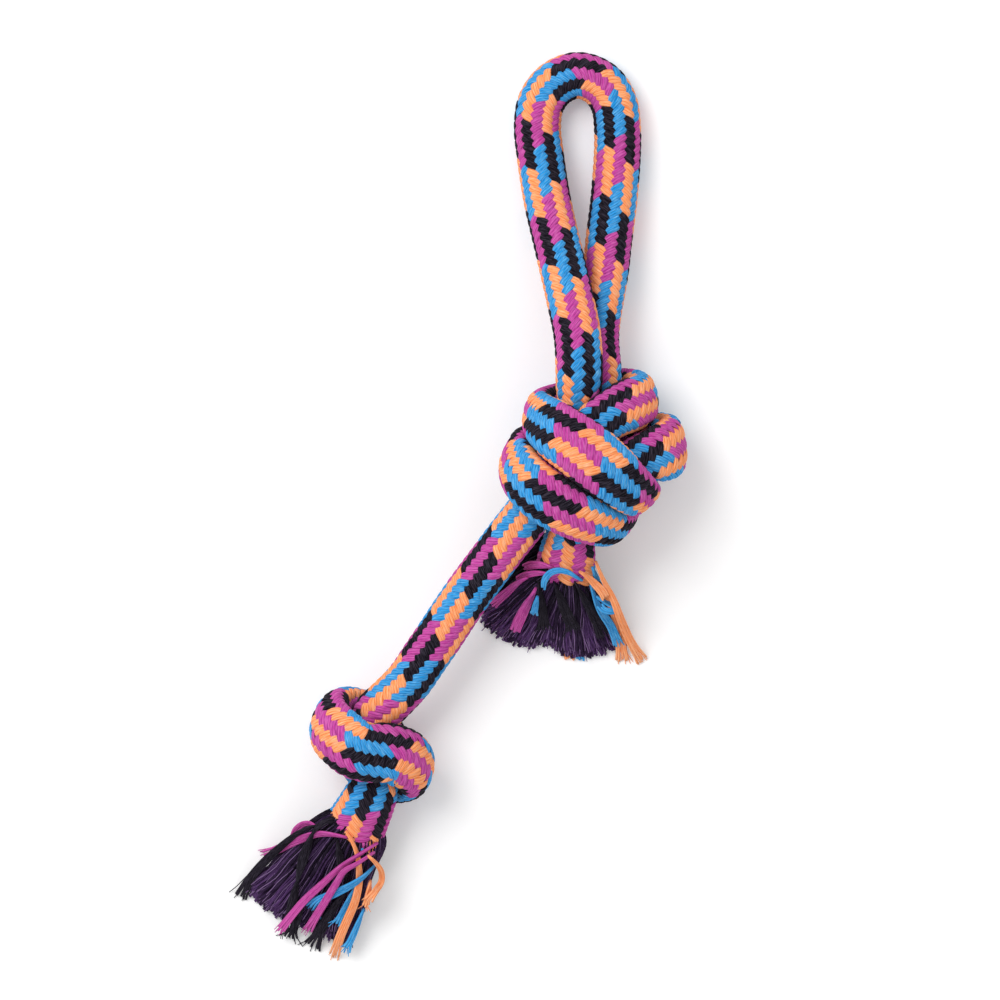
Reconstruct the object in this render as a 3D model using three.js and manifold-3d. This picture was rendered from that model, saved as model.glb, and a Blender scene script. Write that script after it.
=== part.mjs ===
// Rope tug toy: one length of braided cotton rope. Its middle is the handle loop, both runs are
// tied together into the large handle knot, one end leaves it as a short tassel, and the other
// runs on as the long leg to a single end knot and a second tassel.
// Frame: +Z up, the toy lies on z = 0, +Y points from the tassels to the handle loop.
import * as THREE from 'three';
import { mergeVertices } from 'three/addons/utils/BufferGeometryUtils.js';
import Module from 'manifold-3d';

const wasm = await Module();
wasm.setup();

// Driving dimensions, in millimetres
const ropeDiameter = 20; // the free rope
const tightDiameter = 16; // the same rope where a knot squeezes it
const bendDiameter = 18; // between the two, beside a knot
const coverWall = 2.2; // the braided cover's thickness
const fitGap = 0.3; // clearance between pieces that touch
const strandDiameter = 3; // one loose strand of the cover
const strandGap = 0.6; // between a loose strand and what it lies on
const tipHeight = 6; // the fringes' thickness at their cut ends
const knotStep = 8; // one step along the rope in the knots
const freeStep = 11; // one step along the free rope
const coverSides = 10;
const coreSides = 8;
const strandSides = 6;
const strandSteps = 8;
const curveChecks = 2400; // points on which the rope's length is measured
const sameBendShare = 1.5; // rope nearer than this many diameters along itself is one bend

// The rope's route: its centre line from the short tassel to the end tassel
const neckRoute = [[44, -36, 19], [44, -27, 26]];
const knotShortRoute = [
  [45.5, -17.5, 31.5], [47.5, -7.5, 36], [53.5, 2.5, 40], [60.5, 10.5, 43], [68.5, 18, 44],
  [76.5, 24, 41], [82.5, 28, 34.5], [85, 30.5, 25], [82, 31.5, 15], [73.5, 32, 8],
  [60, 31, 6.5], [45.5, 30.5, 9], [33.5, 27.5, 18], [25.5, 23.5, 31.5], [22.5, 18.5, 44.5],
  [25.5, 11.5, 55], [33, 4.5, 60], [43.5, -2, 60], [54, -7, 56], [62.5, -10, 48],
  [67, -10.5, 37], [67.5, -8.5, 26], [66, -4, 16.5], [62.5, 3, 10], [57.5, 11, 10.5],
  [54.5, 17, 17.5], [52, 23.5, 24.5], [49.5, 31.5, 30], [48.3, 41.5, 35.5],
];
const loopRoute = [
  [48.3, 55.5, 39], [47.5, 70.5, 37], [44, 88, 31.5], [39.5, 108, 23], [35, 128, 15],
  [32, 148, 10], [31, 158, 8.5], [32.5, 168.5, 8.5], [38.5, 176.5, 8.5], [48, 180, 8.5],
  [57.5, 176.5, 8.5], [63, 168.5, 8.5], [64.5, 158, 8.5], [64.5, 148, 9], [63, 128, 10.5],
  [60.5, 108, 12.5], [59, 88, 16], [59, 71, 20], [60.3, 57.5, 23.5],
];
const knotLongRoute = [
  [62, 45.5, 24], [66, 34, 24], [70, 23, 24.5], [74, 13.5, 28], [77, 6.5, 35],
  [77.5, 3.5, 44.5], [74.5, 5, 54], [67, 10, 61], [57.5, 16.5, 64.5], [48, 24, 64],
  [39, 30.5, 58.5], [33.5, 36, 48.5], [31.5, 40.5, 36], [34.5, 44, 24], [43, 46.5, 14],
  [54, 47.5, 7.5], [65, 48, 6.5], [74, 48.5, 11], [78.5, 48.5, 19.5], [78.5, 46.5, 29.5],
  [73.5, 42.5, 38.5], [65, 37, 44.5], [55.5, 29, 47], [46, 19.5, 46], [37.5, 9, 43],
  [28, -3, 39.5],
];
const legRoute = [
  [19, -14, 36.5], [11.5, -24, 33.5], [4, -34, 30.5], [-3, -44, 29], [-9.5, -54, 28],
  [-16, -63.5, 27.5], [-22.5, -73, 27.5],
];
const knotEndRoute = [
  [-31.5, -82.5, 26.5], [-41, -91.5, 23], [-47, -100.5, 17.5], [-46.5, -109, 11],
  [-40.5, -116, 6.5], [-31.5, -120, 6.5], [-23, -121, 12], [-18, -119, 20.5],
  [-19, -115, 30.5], [-26.5, -108.5, 37.5], [-37, -101, 40.5], [-47.5, -93, 39],
  [-54, -86, 32], [-54.5, -81.5, 22.5], [-49, -81, 12.5], [-40.5, -85, 7.5],
  [-33, -93, 8], [-30.5, -102.5, 14], [-33.5, -112.5, 22],
];
const endNeckRoute = [[-38.5, -122, 23.5], [-43, -131.5, 19.5]];

// Where one stretch ends and the next begins, counted in points of the route
const shortNeckEnd = neckRoute.length;
const loopStart = shortNeckEnd + knotShortRoute.length;
const longStart = loopStart + loopRoute.length;
const legStart = longStart + knotLongRoute.length;
const endStart = legStart + legRoute.length;
const endNeckStart = endStart + knotEndRoute.length;
const bendIntoKnot = 0.4; // how far each bend beside a knot starts before the knot's own points
const bendAlongLoop = 1.3; // how far it runs on along the loop
const bendAlongLeg = 2; // and along the long leg, from either knot
const stretches = [
  { name: 'short_neck', from: 0, to: shortNeckEnd, diameter: tightDiameter, step: knotStep },
  { name: 'knot_short_run', from: shortNeckEnd, to: loopStart - bendIntoKnot,
    diameter: tightDiameter, step: knotStep, flat: true },
  { name: 'loop_bend_left', from: loopStart - bendIntoKnot, to: loopStart + bendAlongLoop,
    diameter: bendDiameter, step: freeStep },
  { name: 'handle_loop', from: loopStart + bendAlongLoop, to: longStart - 1 - bendAlongLoop,
    diameter: ropeDiameter, step: freeStep, flat: true },
  { name: 'loop_bend_right', from: longStart - 1 - bendAlongLoop, to: longStart - bendIntoKnot,
    diameter: bendDiameter, step: freeStep },
  { name: 'knot_long_run', from: longStart - bendIntoKnot, to: legStart - bendIntoKnot,
    diameter: tightDiameter, step: knotStep, flat: true },
  { name: 'leg_bend', from: legStart - bendIntoKnot, to: legStart + bendAlongLeg,
    diameter: bendDiameter, step: freeStep },
  { name: 'long_leg', from: legStart + bendAlongLeg, to: endStart - bendAlongLeg,
    diameter: ropeDiameter, step: freeStep },
  { name: 'end_bend', from: endStart - bendAlongLeg, to: endStart, diameter: bendDiameter,
    step: freeStep },
  { name: 'end_knot', from: endStart, to: endNeckStart - 1, diameter: tightDiameter,
    step: knotStep, flat: true },
  { name: 'end_neck', from: endNeckStart - 1, to: endNeckStart + 1, diameter: tightDiameter,
    step: knotStep },
];

// The fringes: outlines as shares of each fan's length (away from the rope) and width (across)
const shortFan = {
  name: 'short_fringe', length: 28.5, width: 63, ridgeShare: 0.16,
  outlineShares: [
    [0, -0.16], [0.1, -0.27], [0.21, -0.43], [0.35, -0.59], [0.49, -0.595], [0.75, -0.43],
    [0.88, -0.27], [0.84, -0.13], [1, -0.02], [1, 0.22], [0.84, 0.36], [0.84, 0.41],
    [0.72, 0.41], [0.35, 0.355], [0.14, 0.27], [0, 0.175],
  ],
};
const endFan = {
  name: 'end_fringe', length: 53.6, width: 51, ridgeShare: 0.2,
  outlineShares: [
    [0, -0.2], [0.05, -0.26], [0.23, -0.445], [0.57, -0.62], [0.84, -0.67], [0.94, -0.56],
    [1, -0.3], [0.985, -0.08], [0.995, 0.19], [1, 0.3], [0.66, 0.33], [0.2, 0.25],
    [0.1, 0.22], [0, 0.2],
  ],
};

// Loose strands of the cover, each over its fringe: plan route, layer above the fringe, colour
const colours = {
  orange: 0xff964b,
  blue: 0x1e91dc,
  magenta: 0xbe419b,
  black: 0x1c1c1e,
  core: 0x3e264e,
};
const shortStrands = [
  { name: 'magenta', layer: 0, route: [[31, -42.5], [28, -45.5], [24, -49.5], [20.5, -54]] },
  { name: 'black_left', layer: 0, route: [[35, -42.5], [35, -48], [33.8, -54]] },
  { name: 'black_middle', layer: 0, route: [[39.5, -42.5], [43, -48], [47, -54], [49, -58]] },
  { name: 'orange_tip', layer: 1, route: [[45.5, -44], [45, -52], [44, -59], [44.5, -65.5]] },
  { name: 'black_right', layer: 0, route: [[50, -42.5], [54, -49], [58.5, -55], [61, -60]] },
  { name: 'blue', layer: 0, route: [[54.8, -42.5], [58.3, -46.5], [62.5, -53], [66, -60]] },
  { name: 'orange_long', layer: 0, route: [[59.5, -42.5], [64, -48.5], [69, -57], [75, -66]] },
];
const endStrands = [
  { name: 'magenta_left', layer: 0,
    route: [[-50, -138.5], [-58, -138.5], [-66, -140.5], [-74, -145], [-81, -151]] },
  { name: 'black_thick', layer: 1,
    route: [[-55, -135.5], [-61, -138], [-65, -145], [-68, -154], [-71, -163.5], [-72, -170]] },
  { name: 'black_outer', layer: 0,
    route: [[-62, -135], [-70, -136.5], [-78, -141.5], [-86, -149], [-91, -157], [-94, -165]] },
  { name: 'magenta_upper', layer: 0,
    route: [[-37, -141], [-48.5, -149.5], [-53.5, -153.3], [-66.2, -164.6], [-77.5, -178]] },
  { name: 'magenta_lower', layer: 0,
    route: [[-38, -145.5], [-49.2, -153.8], [-53.1, -158.5], [-59.4, -168.4], [-66.2, -178.5]] },
  { name: 'blue_across', layer: 1,
    route: [[-36.5, -151], [-43, -155.4], [-51.5, -161.7], [-60.7, -165.1], [-64.5, -170]] },
  { name: 'orange_long', layer: 2,
    route: [[-48, -139], [-45, -146], [-43.8, -156.7], [-46, -166.3], [-51.5, -180.2], [-54.4, -189.4]] },
  { name: 'blue_middle', layer: 0, route: [[-44.7, -159], [-48.1, -166.7], [-53.1, -176.5]] },
  { name: 'blue_right', layer: 0, route: [[-42, -169], [-46, -179], [-49.4, -186.5]] },
  { name: 'orange_curl', layer: 2,
    route: [[-40.3, -147], [-36, -152], [-35.5, -158], [-40, -165]] },
];

const toy = new THREE.Group();

function finish(colour, roughness = 0.92) {
  return new THREE.MeshStandardMaterial({ color: colour, roughness, metalness: 0 });
}

function polygon(radius, sides) {
  const corners = [];
  for (let i = 0; i < sides; i += 1) {
    const turn = (i / sides) * 2 * Math.PI;
    corners.push(new THREE.Vector2(radius * Math.cos(turn), radius * Math.sin(turn)));
  }
  return corners;
}

// Closed solid from a geometry whose shared corners are merged
function solidOf(geometry) {
  const bare = geometry.clone();
  bare.deleteAttribute('normal');
  bare.deleteAttribute('uv');
  const merged = mergeVertices(bare);
  return new wasm.Manifold(new wasm.Mesh({
    numProp: 3,
    vertProperties: merged.attributes.position.array,
    triVerts: Uint32Array.from(merged.index.array),
  }));
}

function geometryOf(solid) {
  const mesh = solid.getMesh();
  const geometry = new THREE.BufferGeometry();
  geometry.setAttribute('position', new THREE.BufferAttribute(mesh.vertProperties, 3));
  geometry.setIndex(new THREE.BufferAttribute(mesh.triVerts, 1));
  geometry.computeVertexNormals();
  return geometry;
}

// Everything below the surface that the toy lies on
function underFloor(reach) {
  const block = new THREE.BoxGeometry(reach, reach, reach);
  block.translate(0, 0, -reach / 2);
  return solidOf(block);
}

// One stretch of the rope's centre line, measured along the rope
class Stretch extends THREE.Curve {
  constructor(line, start, end) {
    super();
    this.line = line;
    this.start = start;
    this.end = end;
  }

  getPoint(share, target) {
    const along = this.start + (this.end - this.start) * share;
    return this.line.getPointAt(along / this.line.getLength(), target);
  }
}

const route = [
  ...neckRoute, ...knotShortRoute, ...loopRoute, ...knotLongRoute, ...legRoute,
  ...knotEndRoute, ...endNeckRoute,
];
const rope = new THREE.CatmullRomCurve3(
  route.map((point) => new THREE.Vector3(...point)), false, 'centripetal',
);
rope.arcLengthDivisions = curveChecks;

// How far along the rope a place in the route lies, counted in points
function lengthTo(place) {
  const lengths = rope.getLengths();
  const at = (place / (route.length - 1)) * curveChecks;
  const low = Math.min(Math.floor(at), curveChecks - 1);
  return lengths[low] + (lengths[low + 1] - lengths[low]) * (at - low);
}

function extrudeAlong(section, path, steps) {
  return new THREE.ExtrudeGeometry(section, { steps, extrudePath: path, bevelEnabled: false });
}

function addMesh(name, geometry, colour) {
  const mesh = new THREE.Mesh(geometry, finish(colour));
  mesh.name = name;
  toy.add(mesh);
}

// A stretch's two pieces: the braided cover, a tube, and the yarn core that fills it
function addStretch(stretch, colour) {
  const from = lengthTo(stretch.from) + fitGap / 2;
  const to = lengthTo(stretch.to) - fitGap / 2;
  const path = new Stretch(rope, from, to);
  const steps = Math.max(2, Math.round((to - from) / stretch.step));
  const outer = stretch.diameter / 2;
  const inner = outer - coverWall;
  const ring = new THREE.Shape(polygon(outer, coverSides));
  ring.holes.push(new THREE.Path(polygon(inner, coverSides).reverse()));
  const coreRadius = inner * Math.cos(Math.PI / coverSides) - fitGap;
  const cover = solidOf(extrudeAlong(ring, path, steps));
  const trimmed = stretch.flat ? cover.subtract(floorBlock) : cover;
  addMesh(`${stretch.name}_cover`, geometryOf(trimmed), colour);
  const core = extrudeAlong(new THREE.Shape(polygon(coreRadius, coreSides)), path, steps);
  addMesh(`${stretch.name}_core`, geometryOf(solidOf(core)), colours.core);
}

// The fan's place: where the rope's end face stands, how it tilts and how the fan falls away,
// lengthwise from the rope's end to the tips and crosswise from its ridge to both edges
function fanPlace(fan, end, tangent) {
  const tilt = Math.asin(-tangent.z);
  const radius = tightDiameter / 2;
  const top = {
    along: radius * Math.sin(tilt) + fitGap * Math.cos(tilt),
    up: end.z + radius * Math.cos(tilt) - fitGap * Math.sin(tilt),
  };
  const bottom = {
    along: -radius * Math.sin(tilt) + fitGap * Math.cos(tilt),
    up: end.z - radius * Math.cos(tilt) - fitGap * Math.sin(tilt),
  };
  const shares = fan.outlineShares.map(([, across]) => across);
  const left = Math.min(...shares) * fan.width;
  const right = Math.max(...shares) * fan.width;
  const ridge = fan.ridgeShare * fan.width;
  const turn = Math.atan2(tangent.x, -tangent.y);
  return { end, turn, top, bottom, left, right, ridge };
}

// Closed outline through pairs of sizes
function outlineOf(pairs) {
  return new THREE.Shape(pairs.map(([x, y]) => new THREE.Vector2(x, y)));
}

// A fringe: the fan's outline, cut to fall from the rope's end to the floor and to both sides
function addFan(fan, place) {
  const { length, width } = fan;
  const { top, bottom, left, right, ridge } = place;
  const outline = fan.outlineShares.map(([along, across]) => [across * width, -along * length]);
  const plan = new THREE.ExtrudeGeometry(outlineOf(outline), { depth: top.up, bevelEnabled: false });
  const side = outlineOf([
    [bottom.along, bottom.up], [length / 2, 0], [length, 0], [length, tipHeight], [top.along, top.up],
  ]);
  const wedge = new THREE.ExtrudeGeometry(side, { depth: right - left, bevelEnabled: false });
  wedge.applyMatrix4(new THREE.Matrix4().makeBasis(
    new THREE.Vector3(0, -1, 0), new THREE.Vector3(0, 0, 1), new THREE.Vector3(-1, 0, 0),
  ));
  wedge.translate(right, 0, 0);
  const front = outlineOf([
    [left, 0], [right, 0], [right, tipHeight], [ridge, top.up], [-ridge, top.up], [left, tipHeight],
  ]);
  const roof = new THREE.ExtrudeGeometry(front, { depth: length, bevelEnabled: false });
  roof.rotateX(Math.PI / 2);
  const solid = solidOf(plan).intersect(solidOf(wedge)).intersect(solidOf(roof));
  const geometry = geometryOf(solid);
  geometry.rotateZ(place.turn);
  geometry.translate(place.end.x, place.end.y, 0);
  addMesh(fan.name, geometry, colours.core);
}

// Height of a strand's centre over the fringe: above whichever of its slopes is lower there
function heightOver(fan, place, along, across, lift) {
  const { top, left, right, ridge } = place;
  const drop = tipHeight - top.up;
  const lengthwise = drop / (fan.length - top.along);
  const edge = across < 0 ? -left : right;
  const crosswise = drop / (edge - ridge);
  const onWedge = top.up + lengthwise * (along - top.along) + lift * Math.hypot(1, lengthwise);
  const beside = Math.abs(across) - ridge;
  const onRoof = top.up + crosswise * beside + lift * Math.hypot(1, crosswise);
  return Math.min(onWedge, onRoof);
}

// A loose strand lies on its fringe in its own layer, and droops past the tips
function addStrand(prefix, strand, fan, place) {
  const radius = strandDiameter / 2;
  const lift = radius + strandGap + strand.layer * (strandDiameter + fitGap);
  const points = strand.route.map(([x, y]) => {
    const away = new THREE.Vector2(x - place.end.x, y - place.end.y);
    away.rotateAround(new THREE.Vector2(0, 0), -place.turn);
    const height = heightOver(fan, place, -away.y, away.x, lift);
    return new THREE.Vector3(x, y, Math.max(height, radius + fitGap));
  });
  const path = new THREE.CatmullRomCurve3(points, false, 'centripetal');
  const geometry = extrudeAlong(new THREE.Shape(polygon(radius, strandSides)), path, strandSteps);
  const colour = colours[strand.name.split('_')[0]];
  addMesh(`${prefix}_strand_${strand.name}`, geometryOf(solidOf(geometry)), colour);
}

// Least gap between two turns of the rope, on points further apart along it than one bend
function leastGap() {
  const spots = [];
  const length = rope.getLength();
  const count = Math.round(length);
  for (let i = 0; i <= count; i += 1) {
    const place = rope.getUtoTmapping(i / count) * (route.length - 1);
    const stretch = stretches.find((item) => place <= item.to) ?? stretches.at(-1);
    spots.push({ point: rope.getPointAt(i / count), radius: stretch.diameter / 2, along: i });
  }
  let least = Infinity;
  for (const a of spots) {
    for (const b of spots) {
      if (b.along - a.along > sameBendShare * ropeDiameter) {
        least = Math.min(least, a.point.distanceTo(b.point) - a.radius - b.radius);
      }
    }
  }
  return { least, length };
}

const floorBlock = underFloor(rope.getLength());
const coverColours = [colours.blue, colours.magenta, colours.orange];
stretches.forEach((stretch, index) => {
  addStretch(stretch, coverColours[index % coverColours.length]);
});
const shortPlace = fanPlace(shortFan, rope.getPointAt(0), rope.getTangentAt(0).negate());
const endPlace = fanPlace(endFan, rope.getPointAt(1), rope.getTangentAt(1));
addFan(shortFan, shortPlace);
addFan(endFan, endPlace);
for (const strand of shortStrands) addStrand('short', strand, shortFan, shortPlace);
for (const strand of endStrands) addStrand('end', strand, endFan, endPlace);

const box = new THREE.Box3().setFromObject(toy);
toy.position.set(-(box.min.x + box.max.x) / 2, -(box.min.y + box.max.y) / 2, 0);
toy.updateMatrixWorld(true);

const measured = leastGap();
console.log(`rope ${measured.length.toFixed(1)} mm long, least gap ${measured.least.toFixed(2)} mm`);
console.log(`frame moved by ${toy.position.x.toFixed(3)}, ${toy.position.y.toFixed(3)} mm`);

export default toy;
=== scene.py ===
import math

import bmesh
import bpy
import numpy as np
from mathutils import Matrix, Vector


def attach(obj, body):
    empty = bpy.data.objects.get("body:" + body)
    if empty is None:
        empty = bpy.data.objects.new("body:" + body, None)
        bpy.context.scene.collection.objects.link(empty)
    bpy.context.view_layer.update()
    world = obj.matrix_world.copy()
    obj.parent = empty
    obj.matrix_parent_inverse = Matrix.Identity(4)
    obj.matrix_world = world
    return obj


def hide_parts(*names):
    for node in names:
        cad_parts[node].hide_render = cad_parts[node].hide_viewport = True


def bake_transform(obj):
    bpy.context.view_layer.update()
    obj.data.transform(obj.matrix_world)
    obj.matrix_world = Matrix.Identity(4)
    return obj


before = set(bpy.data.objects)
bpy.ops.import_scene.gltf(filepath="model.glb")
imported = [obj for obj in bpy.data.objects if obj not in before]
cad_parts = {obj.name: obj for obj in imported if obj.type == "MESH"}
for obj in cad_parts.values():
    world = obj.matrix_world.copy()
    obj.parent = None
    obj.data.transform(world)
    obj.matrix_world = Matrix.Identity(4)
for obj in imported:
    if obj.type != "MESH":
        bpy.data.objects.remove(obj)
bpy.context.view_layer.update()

# Camera: far above the toy, so that the raised knots look as wide as in a long-lens picture
view = {
    "pixels": 1000,
    "pixelSize": 0.00042,
    "middle": (0.0167, 0.0024),
    "distance": 4.0,
    "sensorWidth": 36.0,
}


def addCamera():
    data = bpy.data.cameras.new("camera")
    data.sensor_width = view["sensorWidth"]
    data.lens = view["sensorWidth"] * view["distance"] / (view["pixels"] * view["pixelSize"])
    camera = bpy.data.objects.new("camera", data)
    camera.location = (*view["middle"], view["distance"])
    bpy.context.scene.collection.objects.link(camera)
    bpy.context.scene.camera = camera


addCamera()
print("camera ready")

# The rope's route: its centre line from the short tassel to the end tassel
neckRoute = [
    (0.044, -0.036, 0.019), (0.044, -0.027, 0.026),
]
knotShortRoute = [
    (0.0455, -0.0175, 0.0315), (0.0475, -0.0075, 0.036), (0.0535, 0.0025, 0.04),
    (0.0605, 0.0105, 0.043), (0.0685, 0.018, 0.044), (0.0765, 0.024, 0.041),
    (0.0825, 0.028, 0.0345), (0.085, 0.0305, 0.025), (0.082, 0.0315, 0.015),
    (0.0735, 0.032, 0.008), (0.06, 0.031, 0.0065), (0.0455, 0.0305, 0.009),
    (0.0335, 0.0275, 0.018), (0.0255, 0.0235, 0.0315), (0.0225, 0.0185, 0.0445),
    (0.0255, 0.0115, 0.055), (0.033, 0.0045, 0.06), (0.0435, -0.002, 0.06),
    (0.054, -0.007, 0.056), (0.0625, -0.01, 0.048), (0.067, -0.0105, 0.037),
    (0.0675, -0.0085, 0.026), (0.066, -0.004, 0.0165), (0.0625, 0.003, 0.01),
    (0.0575, 0.011, 0.0105), (0.0545, 0.017, 0.0175), (0.052, 0.0235, 0.0245),
    (0.0495, 0.0315, 0.03), (0.0483, 0.0415, 0.0355),
]
loopRoute = [
    (0.0483, 0.0555, 0.039), (0.0475, 0.0705, 0.037), (0.044, 0.088, 0.0315),
    (0.0395, 0.108, 0.023), (0.035, 0.128, 0.015), (0.032, 0.148, 0.01),
    (0.031, 0.158, 0.0085), (0.0325, 0.1685, 0.0085), (0.0385, 0.1765, 0.0085),
    (0.048, 0.18, 0.0085), (0.0575, 0.1765, 0.0085), (0.063, 0.1685, 0.0085),
    (0.0645, 0.158, 0.0085), (0.0645, 0.148, 0.009), (0.063, 0.128, 0.0105),
    (0.0605, 0.108, 0.0125), (0.059, 0.088, 0.016), (0.059, 0.071, 0.02),
    (0.0603, 0.0575, 0.0235),
]
knotLongRoute = [
    (0.062, 0.0455, 0.024), (0.066, 0.034, 0.024), (0.07, 0.023, 0.0245),
    (0.074, 0.0135, 0.028), (0.077, 0.0065, 0.035), (0.0775, 0.0035, 0.0445),
    (0.0745, 0.005, 0.054), (0.067, 0.01, 0.061), (0.0575, 0.0165, 0.0645),
    (0.048, 0.024, 0.064), (0.039, 0.0305, 0.0585), (0.0335, 0.036, 0.0485),
    (0.0315, 0.0405, 0.036), (0.0345, 0.044, 0.024), (0.043, 0.0465, 0.014),
    (0.054, 0.0475, 0.0075), (0.065, 0.048, 0.0065), (0.074, 0.0485, 0.011),
    (0.0785, 0.0485, 0.0195), (0.0785, 0.0465, 0.0295), (0.0735, 0.0425, 0.0385),
    (0.065, 0.037, 0.0445), (0.0555, 0.029, 0.047), (0.046, 0.0195, 0.046),
    (0.0375, 0.009, 0.043), (0.028, -0.003, 0.0395),
]
legRoute = [
    (0.019, -0.014, 0.0365), (0.0115, -0.024, 0.0335), (0.004, -0.034, 0.0305),
    (-0.003, -0.044, 0.029), (-0.0095, -0.054, 0.028), (-0.016, -0.0635, 0.0275),
    (-0.0225, -0.073, 0.0275),
]
knotEndRoute = [
    (-0.0315, -0.0825, 0.0265), (-0.041, -0.0915, 0.023), (-0.047, -0.1005, 0.0175),
    (-0.0465, -0.109, 0.011), (-0.0405, -0.116, 0.0065), (-0.0315, -0.12, 0.0065),
    (-0.023, -0.121, 0.012), (-0.018, -0.119, 0.0205), (-0.019, -0.115, 0.0305),
    (-0.0265, -0.1085, 0.0375), (-0.037, -0.101, 0.0405), (-0.0475, -0.093, 0.039),
    (-0.054, -0.086, 0.032), (-0.0545, -0.0815, 0.0225), (-0.049, -0.081, 0.0125),
    (-0.0405, -0.085, 0.0075), (-0.033, -0.093, 0.008), (-0.0305, -0.1025, 0.014),
    (-0.0335, -0.1125, 0.022),
]
endNeckRoute = [
    (-0.0385, -0.122, 0.0235), (-0.043, -0.1315, 0.0195), (-0.0456, -0.1365, 0.0174),
]
routeShift = (0.001387, 0.000299, 0)  # from the route's own origin to the part's
perSpan = 24  # points worked out between two points of a route
tiny = 1e-12  # keeps divisions by zero away


def unit(vectors):
    lengths = np.linalg.norm(vectors, axis=-1, keepdims=True)
    return vectors / np.maximum(lengths, tiny)


# Centripetal curve through a route's points
def curveThrough(route):
    points = np.array(route, float)
    padded = np.vstack([2 * points[0] - points[1], points, 2 * points[-1] - points[-2]])
    t = np.linspace(0, 1, perSpan, endpoint=False)[:, None]
    spans = []
    for a, b, c, d in zip(padded, padded[1:], padded[2:], padded[3:]):
        before, here, after = (math.sqrt(np.linalg.norm(q - p)) for p, q in ((a, b), (b, c), (c, d)))
        leave = ((b - a) / before - (c - a) / (before + here)) * here + (c - b)
        arrive = (c - b) + ((d - c) / after - (d - b) / (here + after)) * here
        curve = b + t * leave + t**2 * (3 * (c - b) - 2 * leave - arrive)
        spans.append(curve + t**3 * (2 * (b - c) + leave + arrive))
    spans.append(points[-1:])
    return np.vstack(spans)


def lengthsAlong(line):
    return np.concatenate([[0], np.cumsum(np.linalg.norm(np.diff(line, axis=0), axis=1))])


def evenly(line, count):
    along = lengthsAlong(line)
    at = np.linspace(0, along[-1], count)
    return np.stack([np.interp(at, along, line[:, k]) for k in range(3)], axis=1)


# Gaussian smoothing along the first axis; a closed one wraps round
def smoothed(values, width, closed=False):
    reach = max(1, int(3 * width))
    weights = np.exp(-0.5 * (np.arange(-reach, reach + 1) / width) ** 2)
    weights /= weights.sum()
    pads = [(reach, reach)] + [(0, 0)] * (values.ndim - 1)
    if closed:
        padded = np.pad(values, pads, mode="wrap")
    else:
        padded = np.pad(values, pads, mode="reflect", reflect_type="odd")
    return sum(w * padded[i:i + len(values)] for i, w in enumerate(weights))


# 0 up to a start, 1 from an end on, and in step between them
def ramp(values, start, end=1.0):
    return np.clip((values - start) / (end - start), 0, 1)


# Two sideways directions along a line that don't turn about it
def sidesAlong(line):
    tangents = unit(np.gradient(line, axis=0))
    normals = np.empty_like(line)
    normal = np.array([0.0, 0.0, 1.0])
    for i, tangent in enumerate(tangents):
        normal = unit(normal - normal @ tangent * tangent)
        normals[i] = normal
    return normals, np.cross(tangents, normals)


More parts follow.
